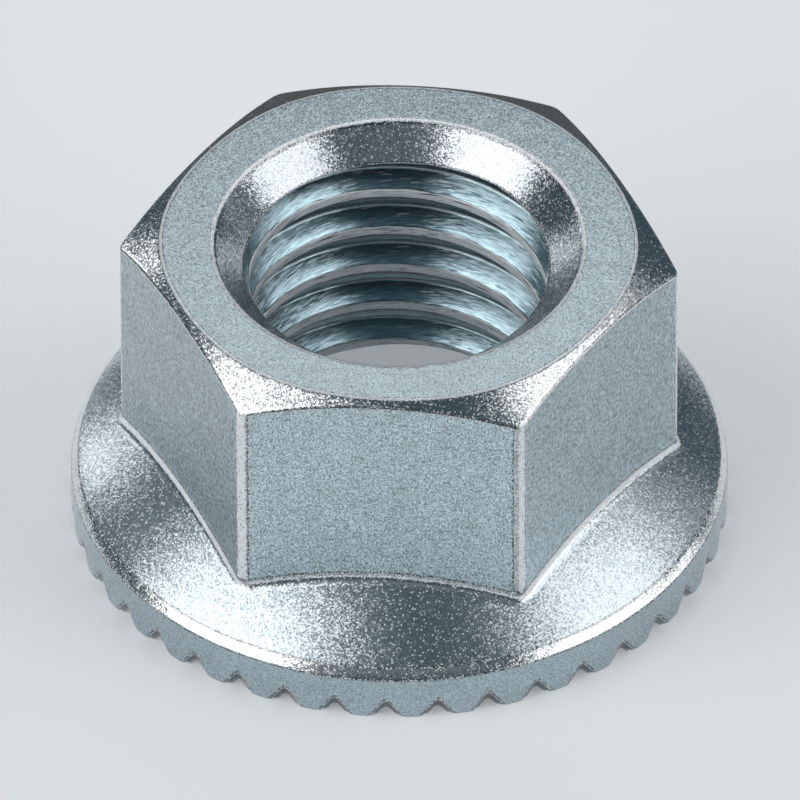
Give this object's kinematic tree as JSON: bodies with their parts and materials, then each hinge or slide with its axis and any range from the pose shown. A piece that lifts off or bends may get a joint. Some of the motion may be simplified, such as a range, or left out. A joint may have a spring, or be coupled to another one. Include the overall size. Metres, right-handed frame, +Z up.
{
  "type": "flange nut",
  "caption": "Hexagon nut with a built-in round flange, radial serrations on the flange's underside and a chamfered upper end.",
  "frame": {"origin": "centre of the bearing plane that the tooth tips touch, on the thread's axis", "axes": "+Z up the thread's axis from the bearing plane to the plain end face, -Y and +Y square to two of the six flats"},
  "size_m": [0.023, 0.023, 0.0119],
  "materials": {
    "zinc_plate": "bright blue-white zinc plate with a fine satin grain"
  },
  "bodies": {
    "root": {"flange_nut": "zinc_plate"}
  },
  "joints": []
}
